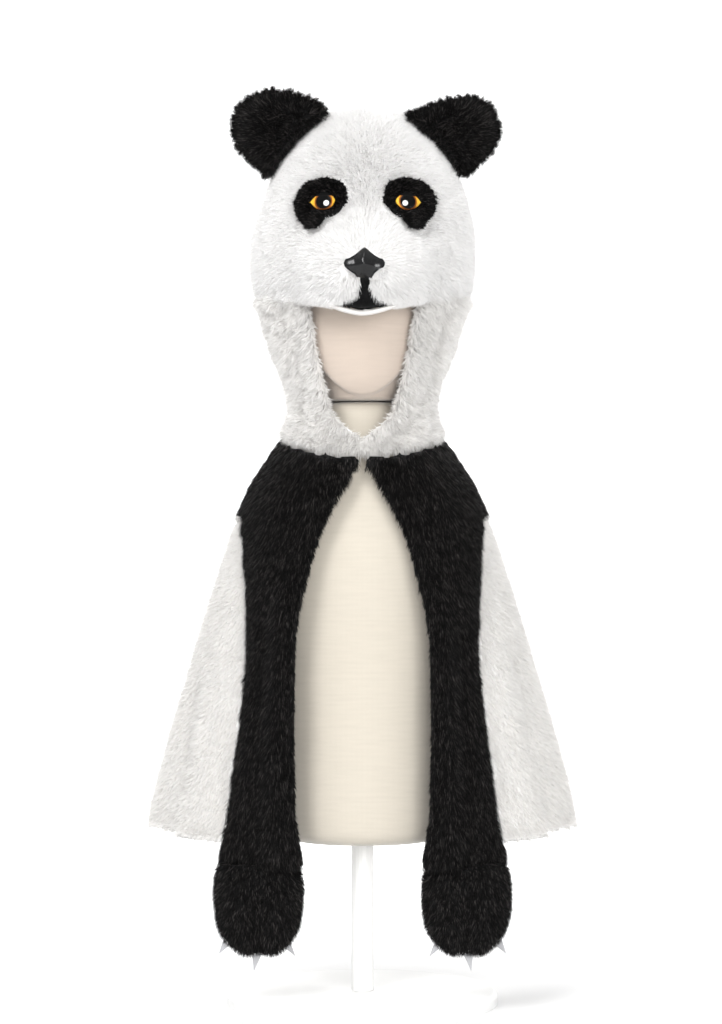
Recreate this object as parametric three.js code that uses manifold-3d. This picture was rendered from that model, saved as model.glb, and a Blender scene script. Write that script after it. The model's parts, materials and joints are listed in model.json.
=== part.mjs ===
// Child's panda cape, worn by a limbless dress form on a plain round stand.
// Millimetres. +Z is up, the front faces -Y and +X is the wearer's left.
// The origin lies under the middle of the stand's base.
// Fur cloth is as thick as its backing and pile together, so an outer face lies at the tips of the pile.

import * as THREE from 'three';
import Module from 'manifold-3d';

const wasm = await Module();
wasm.setup();

// Driving sizes
const seamGap = 0.3;
const leastDetail = 0.03;
const beyond = 800;
const capeCloth = 10;
const hoodCloth = 12;
const headClearance = 0.6;
const crownHeight = 895;
const faceLean = 3;
const crease = { side: 702, front: 695.5, sideX: 104, frontX: 57 };
const patchThickness = 3;
const headSeamY = -4;
const cheekSeamAngle = 100;

const headSquareness = 2.15;
const muzzle = {
  reach: 46, flatness: 3, roundness: 0.6,
  puff: 5, puffAt: 22, puffHalf: 14, groove: 6, grooveHalf: 7,
};
const lip = {
  halfWidth: 50, spread: 0.94, low: 677.5, high: 689.5,
  facing: 6, least: 1, edge: 2.5, depth: 26, tuck: 3, seat: 0.2,
};
const armFold = { at: 0.5, halfWidth: 0.13, depth: 5 };
const capeCurl = { arm: 0.8, side: 0.85, back: 0.9 };
const hemWaves = { count: 5, depth: 6 };
const paw = { x: 101.5, y: -68, cleft: 7, cleftHalf: 8, cleftSpread: 0.22, fullDepth: 25 };
const pole = { radius: 11, foot: 12.3 };
const base = { radius: 135, thickness: 12, edge: 4 };

// Looks
const white = { color: 0xeae8e6, roughness: 0.95 };
const black = { color: 0x161616, roughness: 0.9 };
const satin = { color: 0xf4f3f1, roughness: 0.5 };
const linen = { color: 0xebe2d3, roughness: 0.9 };
const knit = { color: 0xe3d2c4, roughness: 0.9 };
const felt = { color: 0xd8d8da, roughness: 0.85 };
const amber = { color: 0xe2a032, roughness: 0.15 };
const vinyl = { color: 0x101010, roughness: 0.2 };
const whitePaint = { color: 0xf2f2f0, roughness: 0.4 };

// Small helpers
const point = (x, y, z) => new THREE.Vector3(x, y, z);
const steps = (count) => Array.from({ length: count + 1 }, (_, i) => i / count);
const between = (from, to, share) => from + (to - from) * share;
const ease = (value, from, to) => {
  const t = THREE.MathUtils.clamp((value - from) / (to - from), 0, 1);
  return t * t * (3 - 2 * t);
};
const radians = THREE.MathUtils.degToRad;

// A table of rows with named columns, read smoothly at any place down it.
function table(names, rows) {
  const cell = (column, i) => rows[Math.min(Math.max(i, 0), rows.length - 1)][column];
  const read = (column, place) => {
    const i = Math.max(0, Math.min(Math.floor(place), rows.length - 2));
    const t = place - i;
    const [a, b, c, d] = [-1, 0, 1, 2].map((step) => cell(column, i + step));
    return b + 0.5 * t * (c - a + t * (2 * a - 5 * b + 4 * c - d + t * (3 * (b - c) + d - a)));
  };
  const at = (place) => Object.fromEntries(names.map((name, column) => [name, read(column, place)]));
  const atHeight = (z) => {
    let [low, high] = [0, rows.length - 1];
    for (let turn = 0; turn < 30; turn += 1) {
      const middle = (low + high) / 2;
      if (read(0, middle) > z) low = middle;
      else high = middle;
    }
    return at((low + high) / 2);
  };
  return { at, atHeight, last: rows.length - 1 };
}

// Outlines and sections

// Hood head: z, half width, and how far the section reaches to the front and back.
const headRows = table(['z', 'half', 'front', 'back'], [
  [crownHeight, 0, 0, 0],
  [892, 30, 34, 34],
  [882, 50, 60, 56],
  [866, 66, 82, 74],
  [846, 82, 98, 88],
  [822, 96, 108, 97],
  [796, 105, 114, 103],
  [770, 112, 118, 106],
  [746, 115, 120, 106],
  [724, 113.5, 119, 104],
  [710, 111, 114, 101],
  [crease.side, 106, 106, 97],
]);

// Muzzle in front of the face, by height: its half width, and its share of the full reach.
const muzzleRows = table(['z', 'half', 'share'], [
  [812, 40, 0],
  [795, 42, 0.05],
  [778, 48, 0.17],
  [762, 56, 0.42],
  [750, 61, 0.68],
  [738, 65, 0.9],
  [722, 68, 1],
  [706, 67, 1],
  [694, 64, 0.94],
  [686, 61, 0.8],
  [678, 58, 0.6],
  [670, 54, 0.42],
]);

// Lower hood, from the crease to the neckline: half width, reach to the front and back,
// half width of the face opening and how far the row's front dips and its back rises.
const cheekRows = table(['z', 'half', 'front', 'back', 'opening', 'dip', 'rise'], [
  [crease.side + 0.5, 106, 101, 97, 57, 0, 0],
  [690, 105, 99, 97, 57, 0, 0],
  [675, 100, 95, 94, 51.5, 0, 0],
  [655, 93, 90, 89, 50.5, 0, 0],
  [638, 86.5, 86, 84, 47, 0, 0],
  [620, 79, 81, 80, 44, 0, 1],
  [604, 75.5, 77, 77, 38.5, 0, 3],
  [592, 74.5, 75, 75, 34, 0, 6],
  [580, 77.5, 74, 75, 27, 2, 9],
  [571, 80.5, 74, 76, 0.15, 6, 14],
  [562, 82, 74, 78, 0.15, 16, 20],
]);

// Head of the dress form, an egg: z, half width, front and back reach.
const eggCentreY = -12;
const eggRows = table(['z', 'half', 'front', 'back'], [
  [832, 0, 0, 0],
  [828, 26, 30, 30],
  [816, 44, 52, 52],
  [794, 59, 71, 70],
  [764, 68, 82, 80],
  [732, 71, 86, 81],
  [700, 70, 85, 76],
  [668, 65.5, 80, 66],
  [640, 58, 72, 55],
  [620, 50.5, 63, 48],
  [608, 44, 54, 44],
  [600, 39, 45, 40],
]);

// Torso of the dress form, down from the joint at the neck.
const torsoRows = table(['z', 'half', 'front', 'back'], [
  [599.4, 43, 46, 45],
  [585, 43.5, 46, 45],
  [571, 46, 46, 46],
  [560, 53, 47, 49],
  [549, 66, 50, 53],
  [538, 80, 55, 59],
  [524, 93, 60, 65],
  [508, 102, 65, 70],
  [488, 105, 70, 74],
  [456, 104, 75, 76],
  [410, 99, 74, 72],
  [350, 92, 70, 65],
  [280, 86, 69, 66],
  [215, 83, 71, 70],
  [180, 82, 71, 70],
  [161, 79, 68, 67],
]);

// Cape, from the neckline to below the hem. A row runs from the front opening (inner) over the arm
// to the seam, on to the side and round to the middle of the back. arch is how far the arm stands out.
const capeColumns = [
  'innerZ', 'innerX', 'innerY', 'seamZ', 'seamX', 'seamY', 'arch',
  'sideZ', 'sideX', 'sideY', 'backZ', 'backY',
];
const capeRows = table(capeColumns, [
  [545, 0.4, -76, 561, 83, 0, 22, 563, 81, 20, 581, 79],
  [534, 11, -81, 549, 94, 0, 24, 549, 92, 20, 570, 83],
  [521, 18.5, -85, 534, 105, -1, 24, 534, 104, 18, 556, 87],
  [504, 29, -88, 514, 115.5, -5, 24, 514, 116, 16, 538, 91],
  [486, 36, -90, 488, 121, -18, 20, 487, 128.5, 14, 514, 95],
  [463, 45, -91, 462, 119.5, -34, 16, 461, 138, 14, 484, 99],
  [428, 54, -91, 427, 117, -45, 14, 425, 149.5, 14, 440, 104],
  [382, 64, -90, 380, 115, -52, 14, 377, 164, 15, 386, 111],
  [335, 65.5, -89, 333, 116, -57, 14, 329, 177.5, 16, 334, 118],
  [289, 66, -88, 287, 121.5, -60, 14, 281, 191, 17, 284, 125],
  [242, 66, -86, 240, 128, -62, 15, 233, 203.5, 18, 235, 132],
  [196, 64.5, -83, 193, 134, -63, 15, 196, 212, 18, 200, 137],
  [168, 60.5, -81, 164, 141, -64, 15, 175, 215, 18, 180, 140],
  [148, 57.5, -80, 148, 143.5, -64, 16, 159, 218, 18, 164, 142],
]);
const yokeEnd = 4;
const yokeGap = 0.014;
const hemEnd = 12;

// Paw: z, half width and half depth of its rounded section.
const pawRows = table(['z', 'half', 'depth'], [
  [147.6, 42.5, 15],
  [138, 44.3, 19],
  [122, 45.3, 23],
  [104, 44.6, 25],
  [88, 41.6, 24],
  [76, 36.5, 21],
  [65, 27, 16],
  [57, 16, 9],
  [53.5, 6, 4],
]);

// Claws of the wearer's left paw, in front view: where each leaves the paw, its tip and its half width.
const clawRows = [
  { name: 'inner', rootX: 75, rootZ: 70, tipX: 65.5, tipZ: 56.5, half: 4.5 },
  { name: 'middle', rootX: 103, rootZ: 60, tipX: 106, tipZ: 42, half: 5 },
  { name: 'outer', rootX: 132, rootZ: 71, tipX: 140.5, tipZ: 58.5, half: 4.5 },
];
const clawThickness = 3;

// Outlines in front view for the wearer's left, as x from the middle of the face, and z.
// The wearer's left ear lies a little lower along its top.
const earOutline = [
  [36, 880], [41, 893], [62, 902], [86, 911], [108, 908], [125, 898], [135, 882],
  [134, 863], [126, 846], [112, 831], [97, 818], [80, 822], [58, 848],
];
const leftEarDrop = { inner: 10, outer: 3 };
const ear = { x: 88, y: -31, slant: 0.4, cup: 9, rim: 6, back: 12 };
const patchOutline = [
  [17, 783], [15.5, 795], [20, 806], [28.5, 812], [45, 812.5], [58.5, 808.5], [67.5, 798.5],
  [70, 785], [61.5, 768], [52, 759.5], [40.5, 764.5], [32.5, 774], [27.5, 778.5],
];
const eyeOutline = [
  [28.5, 789], [34.5, 796], [42, 797], [50, 793.5], [55, 788.5], [50, 783], [41, 779], [32, 781.5],
];
const eye = { rim: 0.5, dome: 6, seat: 0.6 };
const noseOutline = [
  [1.5, 740], [8.5, 737], [22.5, 722.5], [14, 713], [9.5, 708],
  [-6.5, 708], [-11, 713], [-19.5, 722.5], [-5.5, 737],
];
const nose = { height: 5, ridge: 5, ridgeHalf: 6 };
const sunk = 3;

// Solids from triangles, walls from two grids, and closed bodies from rings

function solid(triangles) {
  const places = [];
  const keys = new Map();
  const index = [];
  let volume = 0;
  const cornerOf = (p) => {
    const key = [p.x, p.y, p.z].map((value) => Math.round(value * 500)).join();
    if (!keys.has(key)) {
      keys.set(key, places.length);
      places.push(p);
    }
    return keys.get(key);
  };
  triangles.forEach((corners) => {
    const [a, b, c] = corners.map(cornerOf);
    if (a === b || b === c || c === a) return;
    volume += places[a].dot(point(0, 0, 0).crossVectors(places[b], places[c]));
    index.push(a, b, c);
  });
  if (volume < 0) index.reverse();
  const geometry = new THREE.BufferGeometry();
  geometry.setAttribute('position', new THREE.Float32BufferAttribute(places.flatMap((p) => p.toArray()), 3));
  geometry.setIndex(index);
  return geometry;
}

const quad = (a, b, c, d) => [[a, b, c], [a, c, d]];

function wall(outer, inner) {
  const triangles = [];
  const rowEnd = outer.length - 1;
  const columnEnd = outer[0].length - 1;
  for (let r = 0; r < rowEnd; r += 1) {
    for (let c = 0; c < columnEnd; c += 1) {
      triangles.push(...quad(outer[r][c], outer[r][c + 1], outer[r + 1][c + 1], outer[r + 1][c]));
      triangles.push(...quad(inner[r + 1][c], inner[r + 1][c + 1], inner[r][c + 1], inner[r][c]));
    }
  }
  for (let c = 0; c < columnEnd; c += 1) {
    triangles.push(...quad(outer[0][c + 1], outer[0][c], inner[0][c], inner[0][c + 1]));
    triangles.push(...quad(outer[rowEnd][c], outer[rowEnd][c + 1], inner[rowEnd][c + 1], inner[rowEnd][c]));
  }
  for (let r = 0; r < rowEnd; r += 1) {
    triangles.push(...quad(outer[r][0], outer[r + 1][0], inner[r + 1][0], inner[r][0]));
    triangles.push(...quad(outer[r + 1][columnEnd], outer[r][columnEnd], inner[r][columnEnd],
      inner[r + 1][columnEnd]));
  }
  return solid(triangles);
}

function stack(rings) {
  const triangles = [];
  const middle = (ring) => ring.reduce((sum, p) => sum.add(p), point(0, 0, 0)).divideScalar(ring.length);
  const count = rings[0].length;
  rings.slice(1).forEach((ring, r) => {
    for (let i = 0; i < count; i += 1) {
      const next = (i + 1) % count;
      triangles.push(...quad(rings[r][i], rings[r][next], ring[next], ring[i]));
    }
  });
  const [first, last] = [rings[0], rings.at(-1)];
  const [top, bottom] = [middle(first), middle(last)];
  for (let i = 0; i < count; i += 1) {
    const next = (i + 1) % count;
    triangles.push([top, first[next], first[i]], [bottom, last[i], last[next]]);
  }
  return solid(triangles);
}

// A cloth wall on a surface: its outer points, and the same points moved in along the normals.
// tilt says how much of a normal's rise is kept down the piece, so that level edges stay level.
// spare makes the wall that much thicker each way and longer along u, to cut a neighbour with a gap.
function cloth(surface, us, vs, thickness, tilt = () => 1, spare = 0) {
  const reach = 0.03;
  const frame = (u, v) => {
    const along = surface(u + reach, v).sub(surface(u - reach, v));
    const down = surface(u, v + reach).sub(surface(u, v - reach));
    const normal = along.clone().cross(down).normalize();
    normal.z *= tilt(v);
    return { along: along.normalize(), normal: normal.normalize() };
  };
  const [middleU, middleV] = [us, vs].map((values) => between(values[0], values.at(-1), 0.5));
  const outward = Math.sign(surface(middleU, middleV).setZ(0).dot(frame(middleU, middleV).normal));
  const moved = (depth) => vs.map((v) => us.map((u) => {
    const { along, normal } = frame(u, v);
    return surface(u, v).addScaledVector(normal, -depth * outward).addScaledVector(along, spare);
  }));
  return wall(moved(-2 * spare), moved(thickness + 2 * spare));
}

const toManifold = (geometry) => new wasm.Manifold(new wasm.Mesh({
  numProp: 3,
  vertProperties: geometry.attributes.position.array,
  triVerts: Uint32Array.from(geometry.index.array),
}));

// A solid from a list of corners, three to a triangle.
function fromCorners(corners) {
  return solid(steps(corners.length / 3 - 1).map((_, t) => corners.slice(3 * t, 3 * t + 3)));
}

function solidOf(geometry) {
  const places = geometry.attributes.position;
  const corner = (_, i) => point(0, 0, 0).fromBufferAttribute(places, i);
  return fromCorners(Array.from({ length: places.count }, corner));
}

function cutBy(geometry, tools) {
  const cut = tools.reduce((body, tool) => body.subtract(toManifold(tool)), toManifold(geometry));
  const { vertProperties, triVerts } = cut.simplify(leastDetail).getMesh();
  return fromCorners(Array.from(triVerts, (i) => point(...vertProperties.slice(3 * i, 3 * i + 3))));
}

const part = new THREE.Group();

function add(name, geometry, look) {
  const mesh = new THREE.Mesh(geometry, new THREE.MeshStandardMaterial(look));
  mesh.name = name;
  part.add(mesh);
}

// Both sides of a piece: side is 1 for the wearer's left and -1 for the right.
const bothSides = (make) => [['left', 1], ['right', -1]].forEach(([name, side]) => make(name, side));

// Hood head. Angle 0 is the middle of the front and 90 degrees the wearer's left.

const lean = (z) => faceLean * ease(z, 745, 800);

function section(row, degrees, squareness = headSquareness) {
  const angle = radians(degrees);
  const bend = (value) => Math.sign(value) * Math.abs(value) ** (2 / squareness);
  const reach = Math.cos(angle) > 0 ? row.front : row.back;
  return point(row.half * bend(Math.sin(angle)), -reach * bend(Math.cos(angle)), row.z);
}

const bell = (value, half) => Math.exp(-((value / half) ** 2));

function muzzleReach(x, z) {
  const { half, share } = muzzleRows.atHeight(z);
  const side = Math.min(1, Math.abs(x) / half);
  const round = (1 - side ** muzzle.flatness) ** muzzle.roundness;
  const puffs = muzzle.puff * bell(Math.abs(x) - muzzle.puffAt, muzzle.puffHalf) * ease(z, 735, 712);
  const groove = muzzle.groove * bell(x, muzzle.grooveHalf) * ease(z, 728, 706);
  return share * (muzzle.reach * round + puffs - groove);
}

// The crease under the head dips to the front. Between its ends the face panel's edge follows the lip.
const creaseZ = (x) => between(crease.front, crease.side, ease(Math.abs(x), crease.frontX, crease.sideX));
const lipLine = (x) => between(lip.low, lip.high, Math.min(1, Math.abs(x) / lip.halfWidth) ** 1.5);

function faceEdgeZ(x) {
  const side = Math.min(1, Math.abs(x) / lip.halfWidth);
  return creaseZ(x) - Math.max(0, (creaseZ(x) - lipLine(x) - lip.facing) * (1 - side ** 6));
}

function headSurface(degrees, share) {
  const row = headRows.at(share * headRows.last);
  const p = section(row, degrees);
  if (Math.abs(degrees) < 90) {
    p.z -= (crease.side - faceEdgeZ(p.x)) * ease(share, 0.62, 1);
    p.y -= muzzleReach(p.x, p.z);
  }
  p.x += lean(p.z);
  return p;
}

function eggSurface(degrees, share, clearance = 0) {
  const row = eggRows.at(share * eggRows.last);
  const out = share > 0 ? clearance : 0;
  const p = section({
    z: row.z + clearance * (1 - share),
    half: row.half + out,
    front: row.front + out,
    back: row.back + out,
  }, degrees, 2);
  p.y += eggCentreY;
  return p;
}

// The whole padded head, open below over the form's head, is cut into its panels at the seams.
const headAngles = steps(40).slice(1).map((share) => between(-180, 180, share));
const outerHead = steps(17).slice(1).map((share) => headAngles.map((angle) => headSurface(angle, share)));
const cavityShare = 6 / eggRows.last;
const innerHead = steps(8).slice(1).reverse().map((share) => headAngles.map((angle) => {
  const p = eggSurface(angle, share * cavityShare, headClearance);
  p.z += (headSurface(angle, 1).z - p.z) * ease(share, 0.8, 1);
  return p;
}));
const wholeHead = stack([...outerHead, ...innerHead]);

function block(lowX, highX, lowY, highY) {
  const box = new THREE.BoxGeometry(highX - lowX, highY - lowY, beyond).toNonIndexed();
  return solidOf(box.translate((lowX + highX) / 2, (lowY + highY) / 2, crownHeight));
}

const behindFace = block(-beyond, beyond, headSeamY, beyond);
const beforeSides = block(-beyond, beyond, -beyond, headSeamY + seamGap);

// Everything on the other side of the middle, and half a gap on this side
const otherSide = (side) => (side > 0 ? block(-beyond, seamGap / 2, -beyond, beyond)
  : block(-seamGap / 2, beyond, -beyond, beyond));
add('face_panel', cutBy(wholeHead, [behindFace]), white);
bothSides((name, side) => {
  add(`head_side_${name}`, cutBy(wholeHead, [beforeSides, otherSide(side)]), white);
});

// Dress form

const ring = (row, count) => steps(count).slice(1).map((share) => section(row, share * 360, 2));

const eggShares = [...steps(8).slice(1).map((share) => share * cavityShare),
  ...steps(7).slice(1).map((share) => between(cavityShare, 1, share))];
add('form_head', stack(eggShares.map((share) => headAngles.map((angle) => eggSurface(angle, share)))), knit);
add('form_torso', stack(steps(20).map((share) => ring(torsoRows.at(share * torsoRows.last), 32))), linen);
const torsoBottom = torsoRows.at(torsoRows.last).z;
const poleRing = (z) => ring({ z, half: pole.radius, front: pole.radius, back: pole.radius }, 20);
add('form_pole', stack([poleRing(torsoBottom - seamGap), poleRing(pole.foot)]), whitePaint);
const baseRing = (z, radius) => ring({ z, half: radius, front: radius, back: radius }, 48);
add('form_base', stack([
  baseRing(base.thickness, base.radius - base.edge),
  baseRing(base.thickness - base.edge / 3, base.radius - base.edge / 3),
  baseRing(base.thickness - base.edge, base.radius),
  baseRing(0, base.radius),
]), whitePaint);

// Lower hood: two cheeks from the face opening to the sides, and the nape behind

// How far a point's direction from the middle is to the front and to the back, each 0 to 1.
const frontAndBack = (p) => [-1, 1].map((sign) => Math.max(0, sign * p.y / Math.hypot(p.x, p.y)));

function necklineZ(p) {
  const { z, dip, rise } = cheekRows.at(cheekRows.last);
  const [front, back] = frontAndBack(p);
  return z + rise * back - dip * front ** 1.5;
}

const cheekSurface = (degrees, share) => {
  const row = cheekRows.at(share * cheekRows.last);
  const p = section(row, degrees);
  const [front, back] = frontAndBack(p);
  const creaseDip = Math.abs(degrees) < 90 ? crease.side - creaseZ(p.x) : 0;
  p.z += row.rise * back - row.dip * front ** 1.5 - creaseDip * (1 - ease(share, 0, 0.3));
  return p;
};

const levelEnds = (share) => ease(share, 0, 0.2) * ease(share, 1, 0.8);

function openingAngle(share) {
  const row = cheekRows.at(share * cheekRows.last);
  const halfShare = Math.max(seamGap / 2, row.opening) / row.half;
  return THREE.MathUtils.radToDeg(Math.asin(Math.min(1, halfShare ** (headSquareness / 2))));
}

// Both are cut level with the underside of the head, a gap below it.
const underHead = wholeHead.clone().translate(0, 0, -seamGap);
bothSides((name, side) => {
  const surface = (u, v) => cheekSurface(side * between(openingAngle(v), cheekSeamAngle - 0.1, u), v);
  add(`cheek_${name}`, cutBy(cloth(surface, steps(10), steps(12), hoodCloth, levelEnds), [underHead]), white);
});
const napeSurface = (u, v) => cheekSurface(between(cheekSeamAngle + 0.1, 359.9 - cheekSeamAngle, u), v);
add('hood_nape', cutBy(cloth(napeSurface, steps(14), steps(12), hoodCloth, levelEnds), [underHead]), white);

// Cape. u runs from 0 at the front opening to 1 at the seam, 2 at the side and 3 at the middle of the back.

function capeSurface(u, place) {
  const p = capePoint(u, place);
  p.z += (necklineZ(p) - seamGap - p.z) * Math.max(0, 1 - place);
  return p;
}

function capePoint(u, place) {
  const row = capeRows.at(place);
  const flare = ease(place, yokeEnd, hemEnd);
  if (u <= 1) {
    const p = point(between(row.innerX, row.seamX, u), between(row.innerY, row.seamY, u),
      between(row.innerZ, row.seamZ, u));
    const across = point(row.seamX - row.innerX, row.seamY - row.innerY, 0).normalize();
    const fold = armFold.depth * bell(u - armFold.at, armFold.halfWidth) * ease(place, 5, 8);
    const out = row.arch * Math.sin(Math.PI * Math.max(0, u)) ** capeCurl.arm - fold;
    return p.add(point(across.y, -across.x, 0).multiplyScalar(out));
  }
  const turn = Math.PI / 2 * (u <= 2 ? u - 1 : u - 2);
  const p = point(0, 0, 0);
  if (u <= 2) {
    p.x = between(row.seamX, row.sideX, Math.sin(turn) ** capeCurl.side);
    p.y = between(row.seamY, row.sideY, u - 1);
    p.z = between(row.seamZ, row.sideZ, u - 1);
  } else {
    p.x = row.sideX * Math.cos(turn) ** capeCurl.back;
    p.y = between(row.sideY, row.backY, Math.sin(turn) ** capeCurl.back);
    p.z = between(row.sideZ, row.backZ, 1 - Math.cos(turn));
  }
  const wave = Math.sin((u - 1) * Math.PI * hemWaves.count / 2) * ease(u, 1, 1.35);
  const out = point(p.x, p.y, 0).normalize();
  return p.addScaledVector(out, hemWaves.depth * flare * wave);
}

const mirrored = (surface, side) => (u, v) => {
  const p = surface(u, v);
  p.x *= side;
  return p;
};

const frontWall = (side, spare) => cloth(mirrored(capeSurface, side), steps(10),
  steps(20).map((share) => share * capeRows.last), capeCloth,
  (v) => ease(v, capeRows.last, capeRows.last - 2), spare);
bothSides((name, side) => add(`front_${name}`, cutBy(frontWall(side, 0), [otherSide(side)]), black));

// u runs from -2 at one seam round the back to 2 at the other.
function backSurface(u, v) {
  const p = capeSurface(3 - Math.abs(u), v);
  p.x *= Math.sign(u) || 1;
  return p;
}

// The back pieces are cut to the fronts, a gap away.
const frontTools = [1, -1].map((side) => frontWall(side, seamGap));
const backWall = (columns, from, to) => cutBy(cloth(backSurface,
  steps(columns).map((share) => between(-2, 2, share)),
  steps(Math.round(1.5 * (to - from))).map((share) => between(from, to, share)), capeCloth), frontTools);
add('back_yoke', backWall(20, 0, yokeEnd - yokeGap), black);
add('back_panel', backWall(34, yokeEnd + yokeGap, hemEnd), white);

// Paws, stuffed, with a cleft between the toes, and their felt claws

function pawBody(side, spare = 0) {
  return stack(steps(12).map((share) => {
    const row = pawRows.at(share * pawRows.last);
    const low = ease(row.z, 80, 55);
    return steps(20).slice(1).map((turn) => {
      const angle = turn * 2 * Math.PI;
      const toe = Math.cos(angle) > 0 ? bell(Math.sin(angle), paw.cleftSpread) * ease(row.z, 148, 90) : 0;
      const depth = row.depth * (1 - toe * paw.cleft / paw.fullDepth) + spare;
      const x = (row.half + spare) * Math.sin(angle);
      const notch = paw.cleft * bell(x, paw.cleftHalf);
      return point(side * (paw.x + x), paw.y - depth * Math.cos(angle), row.z + (notch - spare) * low);
    });
  }));
}

function claw(side, { rootX, rootZ, tipX, tipZ, half }) {
  const along = new THREE.Vector2(tipX - rootX, tipZ - rootZ).normalize();
  const shape = new THREE.Shape([
    new THREE.Vector2(rootX - along.y * half, rootZ + along.x * half),
    new THREE.Vector2(rootX + along.y * half, rootZ - along.x * half),
    new THREE.Vector2(tipX, tipZ),
  ]);
  const blade = new THREE.ExtrudeGeometry(shape, { depth: clawThickness, bevelEnabled: false });
  blade.translate(0, 0, -clawThickness / 2).rotateX(Math.PI / 2).translate(0, paw.y, 0).scale(side, 1, 1);
  return solidOf(blade);
}

bothSides((name, side) => {
  add(`paw_${name}`, pawBody(side), black);
  clawRows.forEach((row) => {
    add(`claw_${row.name}_${name}`, cutBy(claw(side, row), [pawBody(side, seamGap)]), felt);
  });
});

// Ears, eye patches, eyes and nose: pads with an outline in front view, cut to the head they sit on

const headTool = stack(outerHead.map((points) => points.map((p) => {
  const away = Math.hypot(p.x, p.y);
  return point(p.x * (1 + seamGap / away), p.y * (1 + seamGap / away), p.z + seamGap * ease(p.z, 800, 890));
})));

function faceY(x, z) {
  const row = headRows.atHeight(z);
  const side = Math.min(1, Math.abs(x) / row.half);
  return -row.front * (1 - side ** headSquareness) ** (1 / headSquareness) - muzzleReach(x, z);
}

// height and depth say how far a pad stands out of its base and goes into it, from its middle to its edge.
function pad(outline, side, baseY, height, depth, count = 22) {
  const curve = new THREE.CatmullRomCurve3(outline.map(([x, z]) => point(x, 0, z)), true, 'centripetal');
  const edgePoints = curve.getSpacedPoints(count).slice(1);
  const centre = edgePoints.reduce((sum, p) => sum.add(p), point(0, 0, 0)).divideScalar(count);
  const ringAt = (share, out) => edgePoints.map((p) => {
    const [x, z] = [between(centre.x, p.x, share), between(centre.z, p.z, share)];
    return point(side * x + lean(z), baseY(x, z) - out(share, x, z), z);
  });
  const inward = (share) => -depth(share);
  const shares = [0.06, 0.4, 0.72, 0.92, 1];
  return stack([...shares.map((share) => ringAt(share, height)),
    ...shares.toReversed().map((share) => ringAt(share, inward))]);
}

const earY = (x) => ear.y + ear.slant * (x - ear.x);
const earOf = (side) => earOutline.map(([x, z]) => {
  const drop = side > 0 ? between(leftEarDrop.inner, leftEarDrop.outer, ease(x, 80, 115)) : 0;
  return [x, z - drop * ease(z, 850, 885)];
});
const rounded = (share) => Math.sqrt(1 - Math.min(share, 0.985) ** 2);
const cupped = (share) => (ear.cup + ear.rim * Math.sin(Math.PI * share)) * Math.min(1, 1.6 * rounded(share));
const earBack = (share) => ear.back * rounded(share);
const halfGapBack = () => -seamGap / 2;
const intoHead = () => sunk;
const patchHeight = (share) => patchThickness * Math.min(1, 2 * rounded(share));
const onPatch = (x, z) => faceY(x, z) - patchThickness - eye.seat;
const eyeHeight = (share) => eye.rim + eye.dome * rounded(share);
const noseRidge = (share, x) => nose.ridge * bell(x, nose.ridgeHalf) * (1 - share ** 2);
const noseHeight = (share, x) => nose.height * rounded(share) + noseRidge(share, x);
bothSides((name, side) => {
  const outline = earOf(side);
  add(`ear_front_${name}`, cutBy(pad(outline, side, earY, cupped, halfGapBack), [headTool]), black);
  add(`ear_back_${name}`, cutBy(pad(outline, side, earY, halfGapBack, earBack), [headTool]), black);
  add(`eye_patch_${name}`, cutBy(pad(patchOutline, side, faceY, patchHeight, intoHead), [headTool]), black);
  add(`eye_${name}`, pad(eyeOutline, side, onPatch, eyeHeight, () => 0, 16), amber);
});
add('nose', cutBy(pad(noseOutline, 1, faceY, noseHeight, intoHead), [headTool]), vinyl);

// Satin facing along the lip, under the muzzle
function lipRing(share) {
  const x = between(-lip.halfWidth, lip.halfWidth, share) * lip.spread;
  const height = lip.least + lip.facing * (1 - (Math.abs(x) / lip.halfWidth) ** 2.5);
  const top = faceEdgeZ(x) - lip.seat;
  const low = top - height;
  const side = Math.min(top, low + lip.edge);
  const front = faceY(x, faceEdgeZ(0)) + lip.tuck;
  const back = front + lip.depth;
  return [[front, top], [front, side], [front + lip.edge, low], [back, side], [back, top]]
    .map(([y, z]) => point(x, y, z));
}
add('lip_facing', cutBy(stack(steps(16).map(lipRing)), [underHead]), satin);

export default part;
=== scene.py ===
import json
import math

import bmesh
import bpy
import numpy as np
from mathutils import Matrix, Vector
from mathutils.bvhtree import BVHTree

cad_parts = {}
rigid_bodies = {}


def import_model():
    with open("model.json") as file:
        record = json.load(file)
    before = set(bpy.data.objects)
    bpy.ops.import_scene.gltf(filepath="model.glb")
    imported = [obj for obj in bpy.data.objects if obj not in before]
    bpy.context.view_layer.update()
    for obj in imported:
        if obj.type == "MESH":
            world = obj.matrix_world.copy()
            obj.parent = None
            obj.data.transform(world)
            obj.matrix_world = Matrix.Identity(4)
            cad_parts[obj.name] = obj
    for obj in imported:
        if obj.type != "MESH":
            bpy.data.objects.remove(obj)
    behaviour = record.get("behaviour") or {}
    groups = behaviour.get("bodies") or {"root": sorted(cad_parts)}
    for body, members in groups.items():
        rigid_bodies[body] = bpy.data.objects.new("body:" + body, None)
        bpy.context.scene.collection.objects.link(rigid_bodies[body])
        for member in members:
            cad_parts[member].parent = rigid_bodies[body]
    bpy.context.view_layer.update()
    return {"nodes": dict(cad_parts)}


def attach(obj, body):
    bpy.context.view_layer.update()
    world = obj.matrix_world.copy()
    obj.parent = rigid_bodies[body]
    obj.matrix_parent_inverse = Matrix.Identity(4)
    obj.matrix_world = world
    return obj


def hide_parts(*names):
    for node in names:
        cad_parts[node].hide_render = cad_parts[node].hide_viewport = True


# Panda cape on a child's dress form: backing cloth, fur, eyes, nose, claws, form and stand
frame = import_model()


# Nodes, for materials and for geometry alike: a socket is linked, anything else is set
def setSocket(tree, socket, value):
    if isinstance(value, bpy.types.NodeSocket):
        tree.links.new(value, socket)
    else:
        socket.default_value = value


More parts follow.
